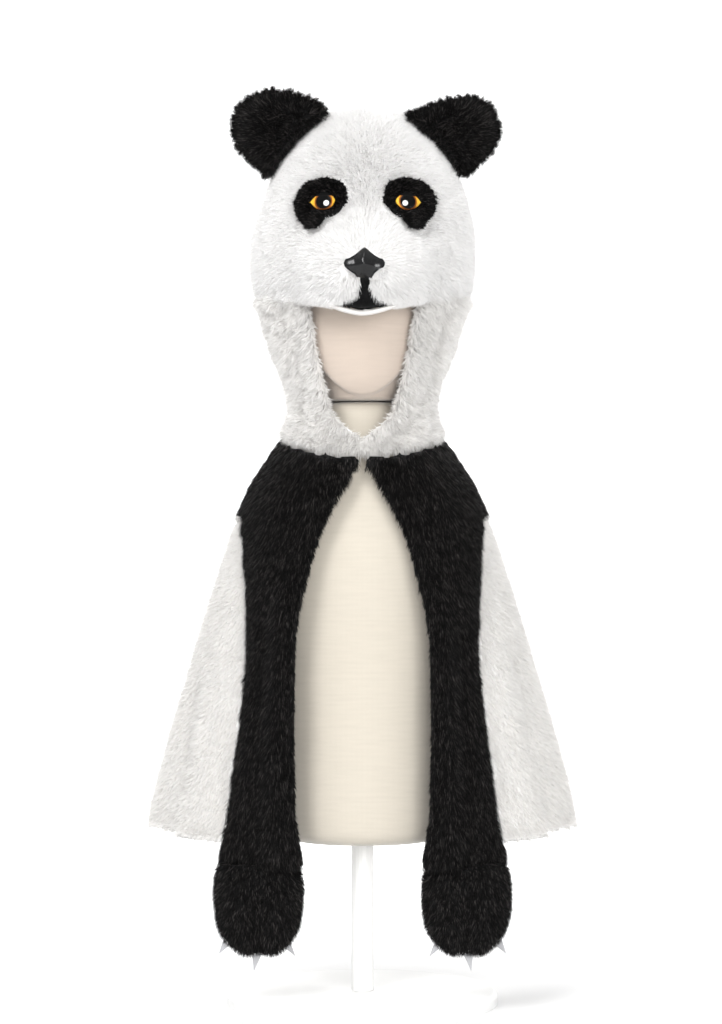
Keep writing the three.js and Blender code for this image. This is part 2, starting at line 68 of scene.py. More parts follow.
def addNode(tree, kind, inputs=None, **settings):
    node = tree.nodes.new(kind)
    for name, value in settings.items():
        setattr(node, name, value)
    for name, value in (inputs or {}).items():
        setSocket(tree, node.inputs[name], value)
    return node


def newMaterial(name):
    material = bpy.data.materials.new(name)
    material.use_nodes = True
    tree = material.node_tree
    tree.nodes.clear()
    surface = tree.nodes.new("ShaderNodeBsdfPrincipled")
    out = tree.nodes.new("ShaderNodeOutputMaterial")
    tree.links.new(surface.outputs[0], out.inputs["Surface"])
    return material, tree, surface


def calc(tree, operation, first, second=0.0, clamp=False):
    inputs = {0: first, 1: second}
    return addNode(tree, "ShaderNodeMath", inputs, operation=operation, use_clamp=clamp).outputs[0]


def calcVector(tree, operation, first, second=(0, 0, 0)):
    return addNode(tree, "ShaderNodeVectorMath", {0: first, 1: second}, operation=operation).outputs["Vector"]


def scaleVector(tree, vector, share):
    inputs = {0: vector, "Scale": share}
    return addNode(tree, "ShaderNodeVectorMath", inputs, operation="SCALE").outputs[0]


def mixColors(tree, factor, first, second):
    mix = addNode(tree, "ShaderNodeMix", data_type="RGBA")
    for socket, value in ((mix.inputs[0], factor), (mix.inputs[6], first), (mix.inputs[7], second)):
        setSocket(tree, socket, value)
    return mix.outputs[2]


def ramp(tree, value, low, high):
    return addNode(tree, "ShaderNodeMapRange", {0: value, 1: low, 2: high}, clamp=True).outputs[0]


def objectPlace(tree):
    return tree.nodes.new("ShaderNodeTexCoord").outputs["Object"]


def dimmed(color, share):
    return tuple(share * value for value in color[:3]) + (1,)


def texture(tree, surface, pattern, share, color, look):
    # Two tones, mixed by a share, and a fine bump from the pattern
    shown = mixColors(tree, share, dimmed(color, look["dark"]), color)
    tree.links.new(shown, surface.inputs["Base Color"])
    surface.inputs["Roughness"].default_value = look["roughness"]
    bump = {"Height": pattern, "Strength": look["bump"], "Distance": look["depth"]}
    tree.links.new(addNode(tree, "ShaderNodeBump", bump).outputs[0], surface.inputs["Normal"])
    return shown


# Meshes
def newPiece(name, mesh):
    piece = bpy.data.objects.new(name, mesh)
    bpy.context.scene.collection.objects.link(piece)
    return piece


def bake(piece):
    # Turns the modifiers' result into the piece's own mesh
    ready = piece.evaluated_get(bpy.context.evaluated_depsgraph_get())
    mesh = bpy.data.meshes.new_from_object(ready)
    piece.modifiers.clear()
    piece.data = mesh
    return piece


def paint(piece, material):
    piece.data.materials.clear()
    piece.data.materials.append(material)


# Corners this near are one, and triangles this flat and square are joined to quads
joined = {"near": 2e-5, "bend": 0.35, "skew": 0.7}


def copyOf(node, name):
    source = bmesh.new()
    source.from_mesh(frame["nodes"][node].data)
    bmesh.ops.remove_doubles(source, verts=source.verts, dist=joined["near"])
    bmesh.ops.join_triangles(source, faces=source.faces, angle_face_threshold=joined["bend"],
                             angle_shape_threshold=joined["skew"], cmp_seam=False, cmp_sharp=False,
                             cmp_uvs=False, cmp_vcols=False, cmp_materials=False)
    mesh = bpy.data.meshes.new(name)
    source.to_mesh(mesh)
    source.free()
    return newPiece(name, mesh)


def readPoints(mesh):
    count = len(mesh.vertices)
    points, normals = np.zeros(count * 3), np.zeros(count * 3)
    mesh.vertices.foreach_get("co", points)
    mesh.vertices.foreach_get("normal", normals)
    return points.reshape(-1, 3), normals.reshape(-1, 3)


def writePoints(mesh, points):
    mesh.vertices.foreach_set("co", points.ravel())


def smoothShare(value, low, high):
    t = np.clip((value - low) / (high - low), 0, 1)
    return t * t * (3 - 2 * t)


# Where the middles lie that the pile points away from, in metres
bodyMiddle = {"y": 0.01}
headMiddle = {"x": 0.003, "y": -0.012, "low": 0.6, "high": 0.77}
pawTurn = 0.03  # the paw's lowest part, where its pile turns to point down
earDepth = 0.02  # how far the pile's middle lies behind an ear's face

# The face's pile starts out from the nose and turns down over this distance
comb = {"nose": (0.0015, -0.17, 0.735), "turn": 0.09, "strength": 1.6}


# Which way is out of a piece at each of its points
def fromBody(points):
    return np.column_stack([points[:, 0], points[:, 1] - bodyMiddle["y"], 0 * points[:, 2]])


def fromHead(points):
    middle = np.clip(points[:, 2], headMiddle["low"], headMiddle["high"])
    return points - np.column_stack([0 * middle + headMiddle["x"], 0 * middle + headMiddle["y"], middle])


def fromPaw(points):
    low, high = points.min(axis=0), points.max(axis=0)
    middle = (low + high) / 2
    fall = np.minimum(0, points[:, 2] - low[2] - pawTurn)
    return np.column_stack([points[:, 0] - middle[0], points[:, 1] - middle[1], fall])


def toFront(points):
    return np.tile([0.0, -1.0, 0.0], (len(points), 1))


def fromEar(points, forward):
    away = points - points.mean(axis=0)
    away[:, 1] = forward * earDepth
    return away


def earFront(points):
    return fromEar(points, -1)


def earBack(points):
    return fromEar(points, 1)


# Which way the pile is brushed
def brushedDown(points):
    return np.tile([0.0, 0.0, -1.0], (len(points), 1))


def brushedFromNose(points):
    away = points - np.array(comb["nose"])
    distance = np.linalg.norm(away, axis=1, keepdims=True)
    near = np.exp(-distance / comb["turn"])
    return away / distance * near * comb["strength"] + brushedDown(points) * (1 - near)


def brushedFromMiddle(points):
    away = points - points.mean(axis=0)
    return away / np.abs(away).max()


def pressCreases(points, outward, creases, steps=9):
    # A crease runs through (angle round the body, height) pairs; 0 is the middle of the front.
    # Both faces of the cloth move, so it bends and keeps its thickness
    angles = np.arctan2(points[:, 0], -points[:, 1])
    reach = np.hypot(points[:, 0], points[:, 1])
    depth = np.zeros(len(points))
    for line, width, deep in creases:
        nearest = np.full(len(points), np.inf)
        for (angleA, heightA), (angleB, heightB) in zip(line, line[1:]):
            for step in np.linspace(0, 1, steps):
                angle = math.radians(angleA + (angleB - angleA) * step)
                height = heightA + (heightB - heightA) * step
                turn = np.angle(np.exp(1j * (angles - angle)))
                nearest = np.minimum(nearest, np.hypot(turn * reach, points[:, 2] - height))
        depth += deep * np.exp(-((nearest / width) ** 2))
    return points - outward * depth[:, None]


# How squarely a face points out of its piece, from -1 to 1: where the cloth is drawn in, and where pile grows
outwardShare = {"drawnIn": (0.1, 0.5), "pile": (-0.4, 0.0)}


# Backing cloth: the node's own form, evened out, with its outer face drawn in to the roots of the pile
def backingCloth(node, settings):
    piece = copyOf(node, node + "_backing")
    remesh = piece.modifiers.new("Even", "REMESH")
    remesh.mode = "VOXEL"
    remesh.voxel_size = settings["grid"]
    smooth = piece.modifiers.new("Soft", "SMOOTH")
    smooth.factor = 0.5
    smooth.iterations = settings["softness"]
    bake(piece)
    points, normals = readPoints(piece.data)
    outward = settings["outside"](points)
    outward = outward / np.maximum(np.linalg.norm(outward, axis=1, keepdims=True), 1e-6)
    facing = (normals * outward).sum(axis=1)
    points = points - normals * (smoothShare(facing, *outwardShare["drawnIn"]) * settings["pile"])[:, None]
    points = pressCreases(points, outward, settings.get("creases", []))
    writePoints(piece.data, points)
    bare = settings["bare"](points) if "bare" in settings else 1
    grows = piece.data.attributes.new("pile", "FLOAT", "POINT")
    grows.data.foreach_set("value", smoothShare(facing, *outwardShare["pile"]) * bare)
    combed = piece.data.attributes.new("comb", "FLOAT_VECTOR", "POINT")
    combed.data.foreach_set("vector", settings["brushed"](points).ravel())
    piece.data.shade_smooth()
    piece.data.update()
    return piece


# One hair of pile, of unit width and height, leaning forward
def bladeShape():
    corners = [(-0.5, 0, 0), (0.5, 0, 0), (0, 0.25, 1)]
    mesh = bpy.data.meshes.new("blade")
    mesh.from_pydata(corners, [], [(0, 1, 2)])
    tip = mesh.attributes.new("tip", "FLOAT", "POINT")
    tip.data.foreach_set("value", [z for _, _, z in corners])
    shape = newPiece("blade", mesh)
    shape.hide_render = True
    return shape


# What varies from hair to hair: shares of its length and width, and a seed for each draw
hair = {"tall": (0.75, 1.15), "wide": (0.7, 1.3), "least": 0.45, "tuftNoise": (0.3, 0.7), "tuftDetail": 2.0,
        "clumpDetail": 1.0}
seeds = {"shade": 11, "stray": 12, "spin": 13, "tall": 14, "wide": 15}


# Pile by geometry nodes: hairs scattered over a backing cloth, combed, clumped and made real
def pileTree():
    tree = bpy.data.node_groups.new("pile", "GeometryNodeTree")

    def addSockets(kind, *names, direction="INPUT"):
        for name in names:
            tree.interface.new_socket(name, in_out=direction, socket_type="NodeSocket" + kind)

    addSockets("Geometry", "cloth")
    addSockets("Float", "density", "length", "width", "lean", "spread", "clump", "clumpSize", "tuft",
               "tuftSize")
    addSockets("Int", "seed")
    addSockets("Object", "blade")
    addSockets("Material", "material")
    addSockets("Geometry", "fur", direction="OUTPUT")
    given = tree.nodes.new("NodeGroupInput").outputs

    def randomBetween(low, high, seed, kind="FLOAT"):
        node = addNode(tree, "FunctionNodeRandomValue", {"Seed": seed}, data_type=kind)
        slots, out = ((0, 1), 0) if kind == "FLOAT_VECTOR" else ((2, 3), 1)
        node.inputs[slots[0]].default_value = low
        node.inputs[slots[1]].default_value = high
        return node.outputs[out]

    def read(name, kind):
        return addNode(tree, "GeometryNodeInputNamedAttribute", {"Name": name}, data_type=kind).outputs[0]

    def noise(size, detail):
        return addNode(tree, "ShaderNodeTexNoise", {"Vector": place, "Scale": size, "Detail": detail}).outputs

    density = calc(tree, "MULTIPLY", given["density"], read("pile", "FLOAT"))
    scatter = addNode(tree, "GeometryNodeDistributePointsOnFaces",
                      {"Mesh": given["cloth"], "Density": density, "Seed": given["seed"]})
    place = tree.nodes.new("GeometryNodeInputPosition").outputs[0]
    low, high = hair["tuftNoise"]
    tuft = noise(given["tuftSize"], hair["tuftDetail"])[0]
    tuft = addNode(tree, "ShaderNodeMapRange", {0: tuft, 1: low, 2: high}).outputs[0]
    stored = scatter.outputs["Points"]
    for name, kind, value in (("rootNormal", "FLOAT_VECTOR", scatter.outputs["Normal"]),
                              ("root", "FLOAT_VECTOR", place),
                              ("tuft", "FLOAT", tuft),
                              ("shade", "FLOAT", randomBetween(0.0, 1.0, seeds["shade"]))):
        stored = addNode(tree, "GeometryNodeStoreNamedAttribute",
                         {"Geometry": stored, "Name": name, "Value": value},
                         data_type=kind, domain="POINT").outputs[0]

    # Direction: out of the cloth, then combed, clumped and a little astray
    clump = noise(given["clumpSize"], hair["clumpDetail"])["Color"]
    clump = scaleVector(tree, calcVector(tree, "SUBTRACT", clump, (0.5, 0.5, 0.5)), given["clump"])
    combed = scaleVector(tree, read("comb", "FLOAT_VECTOR"), given["lean"])
    stray = randomBetween((-1, -1, -1), (1, 1, 1), seeds["stray"], "FLOAT_VECTOR")
    direction = scatter.outputs["Normal"]
    for part in (combed, clump, scaleVector(tree, stray, given["spread"])):
        direction = calcVector(tree, "ADD", direction, part)
    aligned = addNode(tree, "FunctionNodeAlignRotationToVector", {"Vector": direction}, axis="Z").outputs[0]
    spin = addNode(tree, "FunctionNodeAxisAngleToRotation",
                   {"Axis": (0, 0, 1), "Angle": randomBetween(0.0, 2 * math.pi, seeds["spin"])}).outputs[0]
    turned = addNode(tree, "FunctionNodeRotateRotation", {"Rotation": aligned, "Rotate By": spin},
                     rotation_space="LOCAL").outputs[0]

    # Size: shorter where the pile thins out, uneven in tufts
    height = calc(tree, "MULTIPLY", given["length"], randomBetween(*hair["tall"], seeds["tall"]))
    height = calc(tree, "MULTIPLY", height, calc(tree, "MAXIMUM", read("pile", "FLOAT"), hair["least"]))
    uneven = calc(tree, "MULTIPLY", given["tuft"], calc(tree, "SUBTRACT", tuft, 0.5))
    height = calc(tree, "MULTIPLY", height, calc(tree, "ADD", 1.0, uneven))
    width = calc(tree, "MULTIPLY", given["width"], randomBetween(*hair["wide"], seeds["wide"]))
    size = addNode(tree, "ShaderNodeCombineXYZ", {"X": width, "Y": height, "Z": height}).outputs[0]

    one = addNode(tree, "GeometryNodeObjectInfo", {"Object": given["blade"]}).outputs["Geometry"]
    hairs = addNode(tree, "GeometryNodeInstanceOnPoints",
                    {"Points": stored, "Instance": one, "Rotation": turned, "Scale": size}).outputs[0]
    real = addNode(tree, "GeometryNodeRealizeInstances", {"Geometry": hairs}).outputs[0]
    done = addNode(tree, "GeometryNodeSetMaterial", {"Geometry": real, "Material": given["material"]})
    tree.links.new(done.outputs[0], tree.nodes.new("NodeGroupOutput").inputs[0])
    return tree


blade = bladeShape()
pileGroup = pileTree()


def growPile(backing, node, settings, material):
    fur = newPiece(node + "_pile", backing.data)
    share = np.array([value.value for value in backing.data.attributes["pile"].data])
    area = sum(face.area * share[list(face.vertices)].mean() for face in backing.data.polygons)
    values = dict(settings, density=settings["blades"] / area, blade=blade, material=material)
    grow = fur.modifiers.new("Pile", "NODES")
    grow.node_group = pileGroup
    for socket in pileGroup.interface.items_tree:
        if socket.in_out == "INPUT" and socket.name in values:
            grow[socket.identifier] = values[socket.name]
    return bake(fur)


# Fur material: painted shade darkens each hair towards its root and darkens the low hairs between tufts, hairs
# differ at random in tone, and the shading normal leans partly to the cloth under it
def furMaterial(name, look):
    material, tree, surface = newMaterial(name)

    def read(attribute, output="Fac"):
        return addNode(tree, "ShaderNodeAttribute", attribute_name=attribute).outputs[output]

    shade = read("shade")
    # Painted shade: each hair runs from the darker root colour to the tip colour
    color = mixColors(tree, read("tip"), look["root"], look["tip"])
    # Random tone from hair to hair, plus painted shade on the low hairs between tufts
    uneven = calc(tree, "ADD", shade, calc(tree, "SUBTRACT", 1.0, read("tuft")))
    uneven = calc(tree, "MULTIPLY", uneven, look["mixed"])
    color = mixColors(tree, uneven, color, dimmed(look["tip"], look["darker"]))
    # Painted glints: a share of hairs, picked at random, turn lighter to stand in for sheen on the black pile
    if "stray" in look:
        color = mixColors(tree, ramp(tree, shade, *look["strayShare"]), color, look["stray"])
    if "ink" in look:
        color = mixColors(tree, look["ink"](tree, read("root", "Vector")), color, look["inkColor"])
    tree.links.new(color, surface.inputs["Base Color"])
    surface.inputs["Roughness"].default_value = look["roughness"]
    surface.inputs["Specular IOR Level"].default_value = look["specular"]
    surface.inputs["Sheen Weight"].default_value = look["sheen"]
    surface.inputs["Sheen Roughness"].default_value = look["sheenRoughness"]
    under = scaleVector(tree, read("rootNormal", "Vector"), look["rootShading"])
    own = tree.nodes.new("ShaderNodeNewGeometry").outputs["Normal"]
    own = scaleVector(tree, own, 1 - look["rootShading"])
    leaning = calcVector(tree, "NORMALIZE", calcVector(tree, "ADD", under, own))
    tree.links.new(leaning, surface.inputs["Normal"])
    if look["glow"]:
        through = addNode(tree, "ShaderNodeBsdfTranslucent", {"Color": color})
        both = {0: look["glow"], 1: surface.outputs[0], 2: through.outputs[0]}
        tree.links.new(addNode(tree, "ShaderNodeMixShader", both).outputs[0],
                       tree.nodes["Material Output"].inputs["Surface"])
    return material


# Backing cloth material: a close knit in the pile's own colour
knitLook = {"scale": 900.0, "detail": 2.0, "dark": 0.75, "roughness": 0.9, "bump": 0.4, "depth": 0.0006,
            "ink": (0.005, 0.005, 0.005, 1)}


def backingMaterial(name, color, ink=None):
    material, tree, surface = newMaterial(name)
    place = objectPlace(tree)
    stitches = addNode(tree, "ShaderNodeTexNoise",
                       {"Vector": place, "Scale": knitLook["scale"], "Detail": knitLook["detail"]}).outputs[0]
    shown = texture(tree, surface, stitches, stitches, color, knitLook)
    if ink:
        shown = mixColors(tree, ink(tree, place), shown, knitLook["ink"])
        tree.links.new(shown, surface.inputs["Base Color"])
    return material


# Black in the face's pile: a line under the nose that flares into the mouth, in metres
mouth = {"x": 0.0022, "top": 0.717, "flareTop": 0.7055, "flareEnd": 0.6895, "lineHalf": 0.0046,
         "half": 0.0205, "bottom": 0.6835, "rear": -0.1}
# The black round the eyes on the face's backing, where it shows beside them
eyeInk = {"x": 0.0404, "middle": 0.003, "z": 0.7855, "wide": 0.0185, "high": 0.0135, "rear": -0.05}
# Where no pile grows: the edge above the lip, and this near the set-in pieces
bare = {"half": 0.036, "soft": 0.01, "low": 0.6865, "high": 0.6925, "faceNear": 0.0078, "faceFar": 0.0088,
        "eyeNear": 0.0006, "eyeFar": 0.0016}


def aboveLip(points):
    beside = smoothShare(np.abs(points[:, 0] - mouth["x"]), bare["half"], bare["half"] + bare["soft"])
    return np.maximum(beside, smoothShare(points[:, 2], bare["low"], bare["high"]))


def clearOf(points, nodes, near, far):
    # 0 close to the nodes, 1 away from them
    nearest = np.full(len(points), 1.0)
    for node in nodes:
        mesh = frame["nodes"][node].data
        corners = [corner.co for corner in mesh.vertices]
        faces = BVHTree.FromPolygons(corners, [list(face.vertices) for face in mesh.polygons])
        nearest = np.minimum(nearest, [faces.find_nearest(Vector(point))[3] for point in points])
    return smoothShare(nearest, near, far)


def faceBare(points):
    setIn = ["eye_patch_left", "eye_patch_right", "nose"]
    return aboveLip(points) * clearOf(points, setIn, bare["faceNear"], bare["faceFar"])


def patchBare(points):
    return clearOf(points, ["eye_left", "eye_right"], bare["eyeNear"], bare["eyeFar"])


def mouthInk(tree, place):
    x, y, z = addNode(tree, "ShaderNodeSeparateXYZ", {0: place}).outputs
    side = calc(tree, "ABSOLUTE", calc(tree, "SUBTRACT", x, mouth["x"]))
    flare = calc(tree, "POWER", ramp(tree, z, mouth["flareTop"], mouth["flareEnd"]), 2.0)
    half = calc(tree, "MULTIPLY", flare, mouth["half"] - mouth["lineHalf"])
    inside = calc(tree, "LESS_THAN", side, calc(tree, "ADD", half, mouth["lineHalf"]))
    inside = calc(tree, "MULTIPLY", inside, calc(tree, "LESS_THAN", z, mouth["top"]))
    inside = calc(tree, "MULTIPLY", inside, calc(tree, "GREATER_THAN", z, mouth["bottom"]))
    return calc(tree, "MULTIPLY", inside, calc(tree, "LESS_THAN", y, mouth["rear"]))


def backingInk(tree, place):
    x, y, z = addNode(tree, "ShaderNodeSeparateXYZ", {0: place}).outputs
    side = calc(tree, "ABSOLUTE", calc(tree, "SUBTRACT", x, eyeInk["middle"]))
    across = calc(tree, "DIVIDE", calc(tree, "SUBTRACT", side, eyeInk["x"]), eyeInk["wide"])
    up = calc(tree, "DIVIDE", calc(tree, "SUBTRACT", z, eyeInk["z"]), eyeInk["high"])
    spread = calc(tree, "ADD", calc(tree, "MULTIPLY", across, across), calc(tree, "MULTIPLY", up, up))
    eyes = calc(tree, "LESS_THAN", spread, 1.0)
    eyes = calc(tree, "MULTIPLY", eyes, calc(tree, "LESS_THAN", y, eyeInk["rear"]))
    return calc(tree, "MAXIMUM", eyes, mouthInk(tree, place))


# The three furs and their backings. Colours, and shares from 0 to 1
# root: the colour at a hair's root, darker than the tip as painted shade deep in the pile
whiteFur = {"root": (0.8, 0.785, 0.765, 1), "tip": (0.975, 0.965, 0.95, 1), "roughness": 0.8,
            "specular": 0.3, "sheen": 0.2, "sheenRoughness": 0.4, "rootShading": 0.3, "glow": 0.45,
            "mixed": 0.5, "darker": 0.82}
faceFur = dict(whiteFur, root=(0.88, 0.875, 0.87, 1), tip=(0.93, 0.925, 0.92, 1), mixed=0.2, darker=0.86,
               ink=mouthInk, inkColor=(0.012, 0.012, 0.013, 1))
# stray: the colour of the painted glints, a few lighter hairs standing in for sheen
blackFur = dict(whiteFur, root=(0.001, 0.001, 0.001, 1), tip=(0.0035, 0.0032, 0.0032, 1), roughness=0.45,
                specular=0.12, sheen=0.02, glow=0.0, mixed=0.3, darker=0.86,
                stray=(0.055, 0.05, 0.048, 1), strayShare=(0.86, 0.9))
whiteKnit = (0.86, 0.85, 0.84, 1)
blackKnit = (0.004, 0.004, 0.0042, 1)
plush = furMaterial("white_plush", faceFur)
longWhite = furMaterial("white_long_pile", whiteFur)
longBlack = furMaterial("black_long_pile", blackFur)
whiteBacking = backingMaterial("white_backing", whiteKnit)
faceBacking = backingMaterial("face_backing", whiteKnit, backingInk)
blackBacking = backingMaterial("black_backing", blackKnit)

# Every fur piece: its cloth, creases and pile. Lengths in metres, blades as a number for the piece
headPile = {"length": 0.0082, "width": 0.0010, "lean": 0.7, "spread": 0.25, "clump": 0.6, "clumpSize": 110,
            "tuft": 0.25, "tuftSize": 70, "brushed": brushedFromNose, "outside": fromHead, "grid": 0.005,
            "softness": 5, "pile": 0.0075, "seed": 3}
bandPile = {"length": 0.0110, "width": 0.0012, "lean": 0.65, "spread": 0.3, "clump": 2.0, "clumpSize": 130,
            "tuft": 0.5, "tuftSize": 85, "brushed": brushedDown, "outside": fromHead, "grid": 0.004,
            "softness": 2, "pile": 0.0085, "seed": 4}
sidePile = {"length": 0.0075, "width": 0.0009, "lean": 0.8, "spread": 0.3, "clump": 0.7, "clumpSize": 110,
            "tuft": 0.25, "tuftSize": 60, "brushed": brushedDown, "outside": fromBody, "grid": 0.0045,
            "softness": 2, "pile": 0.007, "seed": 5}
blackPile = {"length": 0.0095, "width": 0.0008, "lean": 1.6, "spread": 0.2, "clump": 0.35, "clumpSize": 80,
             "tuft": 0.25, "tuftSize": 60, "brushed": brushedDown, "outside": fromBody, "grid": 0.004,
             "softness": 2, "pile": 0.0042, "seed": 6}
pawPile = dict(blackPile, length=0.0065, lean=0.9, outside=fromPaw, blades=20000, softness=3, pile=0.0032)
earPile = dict(blackPile, length=0.0078, lean=0.8, clump=0.7, spread=0.3, brushed=brushedFromMiddle,
               blades=10000, grid=0.0035, softness=3, pile=0.006)
patchPile = dict(blackPile, length=0.005, lean=0.3, outside=toFront, blades=6000, grid=0.002, pile=0.0012,
                 bare=patchBare)

# Creases: a line of (degrees round the body, height) pairs, its width and its depth
frontCreases = {
    "left": [([(55, 0.37), (54, 0.25), (58, 0.15)], 0.011, 0.0065),
             ([(38, 0.5), (44, 0.42)], 0.014, 0.003)],
    "right": [([(-54, 0.38), (-55, 0.24), (-58, 0.15)], 0.011, 0.007),
              ([(-40, 0.49), (-45, 0.44)], 0.012, 0.0025)],
}
cheekCreases = {
    "left": [([(54, 0.684), (56, 0.6)], 0.008, 0.0055), ([(70, 0.674), (92, 0.67)], 0.006, 0.0025)],
    "right": [([(-50, 0.69), (-53, 0.59)], 0.008, 0.006), ([(-58, 0.684), (-84, 0.686)], 0.006, 0.003)],
}
backCreases = [
    ([(-88, 0.31), (-84, 0.22)], 0.011, 0.005), ([(-80, 0.19), (-74, 0.172)], 0.007, 0.003),
    ([(84, 0.34), (80, 0.25), (82, 0.2)], 0.012, 0.004), ([(118, 0.4), (112, 0.17)], 0.017, 0.009),
    ([(150, 0.36), (154, 0.16)], 0.019, 0.01), ([(-124, 0.38), (-117, 0.16)], 0.017, 0.009),
    ([(-160, 0.42), (-152, 0.17)], 0.019, 0.011), ([(178, 0.3), (175, 0.16)], 0.013, 0.007),
]
napeCreases = [([(120, 0.66), (170, 0.668), (225, 0.658)], 0.008, 0.003),
               ([(140, 0.61), (200, 0.606)], 0.008, 0.003)]
furPieces = {
    "face_panel": dict(headPile, blades=150000, bare=faceBare),
    "head_side_left": dict(headPile, blades=40000, brushed=brushedDown),
    "head_side_right": dict(headPile, blades=40000, brushed=brushedDown),
    "cheek_left": dict(bandPile, blades=40000, creases=cheekCreases["left"]),
    "cheek_right": dict(bandPile, blades=40000, creases=cheekCreases["right"]),
    "hood_nape": dict(bandPile, blades=26000, creases=napeCreases),
    "front_left": dict(blackPile, blades=84000, creases=frontCreases["left"]),
    "front_right": dict(blackPile, blades=84000, creases=frontCreases["right"]),
    "back_yoke": dict(blackPile, blades=28000),
    "back_panel": dict(sidePile, grid=0.006, blades=140000, creases=backCreases),
    "paw_left": pawPile,
    "paw_right": pawPile,
    "ear_front_left": dict(earPile, outside=earFront),
    "ear_front_right": dict(earPile, outside=earFront),
    "ear_back_left": dict(earPile, outside=earBack),
    "ear_back_right": dict(earPile, outside=earBack),
    "eye_patch_left": patchPile,
    "eye_patch_right": patchPile,
}
whiteNodes = ("face_panel", "head_side_left", "head_side_right", "cheek_left", "cheek_right", "hood_nape",
              "back_panel")


for node, settings in furPieces.items():
    white = node in whiteNodes
    pileLook, cloth = (longWhite, whiteBacking) if white else (longBlack, blackBacking)
    if node == "face_panel":
        pileLook, cloth = plush, faceBacking
    backing = backingCloth(node, settings)
    fur = growPile(backing, node, settings, pileLook)
    paint(backing, cloth)
    for piece in (backing, fur):
        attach(piece, "root")
    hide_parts(node)
    print("fur", node, len(fur.data.polygons), "hairs", len(backing.data.polygons), "backing faces")
bpy.data.objects.remove(blade)


# Smooth pieces: the node's form, subdivided
def finerCopy(node, name, levels, material):
    piece = copyOf(node, name)
    finer = piece.modifiers.new("Finer", "SUBSURF")
    finer.levels = levels
    finer.render_levels = levels
    bake(piece)
    piece.data.shade_smooth()
    paint(piece, material)
    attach(piece, "root")
    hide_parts(node)
    return piece


# Woven cover of the dress form: threads both ways, with slubs along them
weaveLook = {"wander": 1.2, "detail": 2.0, "detailScale": 40.0, "slubs": (30, 30, 320), "slubDetail": 3.0,
             "tones": (0.3, 0.75), "dark": 0.86, "roughness": 0.85, "bump": 0.35, "depth": 0.0004,
             "sheen": 0.6, "sheenRoughness": 0.5}


def wovenMaterial(name, color, threads):
    material, tree, surface = newMaterial(name)
    place = objectPlace(tree)
    wave = {"Vector": place, "Scale": threads, "Distortion": weaveLook["wander"],
            "Detail": weaveLook["detail"], "Detail Scale": weaveLook["detailScale"]}
    across, along = [addNode(tree, "ShaderNodeTexWave", wave, bands_direction=axis).outputs["Fac"]
                     for axis in ("X", "Z")]
    slub = {"Vector": calcVector(tree, "MULTIPLY", place, weaveLook["slubs"]), "Scale": 1.0,
            "Detail": weaveLook["slubDetail"]}
    slub = addNode(tree, "ShaderNodeTexNoise", slub).outputs[0]
    tone = calc(tree, "MULTIPLY", calc(tree, "ADD", calc(tree, "MAXIMUM", across, along), slub), 0.5)
    texture(tree, surface, tone, ramp(tree, tone, *weaveLook["tones"]), color, weaveLook)
    surface.inputs["Sheen Weight"].default_value = weaveLook["sheen"]
    surface.inputs["Sheen Roughness"].default_value = weaveLook["sheenRoughness"]
    return material


# Smooth materials: satin, felt, vinyl and paint, with a fine grain
grainLook = {"scale": 1400.0, "detail": 1.0, "dark": 0.95, "bump": 0.2, "depth": 0.0002}


def grainMaterial(name, color, roughness, specular=0.5):
    material, tree, surface = newMaterial(name)
    grain = {"Vector": objectPlace(tree), "Scale": grainLook["scale"], "Detail": grainLook["detail"]}
    grain = addNode(tree, "ShaderNodeTexNoise", grain).outputs[0]
    texture(tree, surface, grain, grain, color, dict(grainLook, roughness=roughness))
    surface.inputs["Specular IOR Level"].default_value = specular
    return material


# Eye: an almond in amber with a black middle, a painted highlight, and dots along its lower rim
eyeLook = {"x": 0.0404, "middle": 0.003, "z": 0.7875, "half": 0.0127, "high": 0.0088, "lid": 0.0052,
           "pupil": 0.0071, "pupilSoft": 0.0004, "ring": 0.0083, "ringSoft": 0.0005, "lidSoft": 0.0006,
           "edgeSoft": 0.0004, "corner": (0.006, 0.012), "dotScale": 950.0, "dotSize": 0.4,
           "dotRim": (-0.0055, -0.0068), "lightX": 0.0026, "lightZ": 0.0019, "light": (0.003, 0.002),
           "lightFade": 0.0026, "roughness": 0.15, "edgeRoughness": 0.95, "specular": 0.1}
eyeColors = {"amber": (0.5, 0.15, 0.015, 1), "corner": (0.83, 0.53, 0.055, 1),
             "dots": (0.05, 0.012, 0.004, 1), "ring": (0.16, 0.05, 0.01, 1), "black": (0.003, 0.003, 0.003, 1),
             "light": (0.8, 0.8, 0.82, 1), "lightRim": (0.95, 0.95, 0.95, 1)}


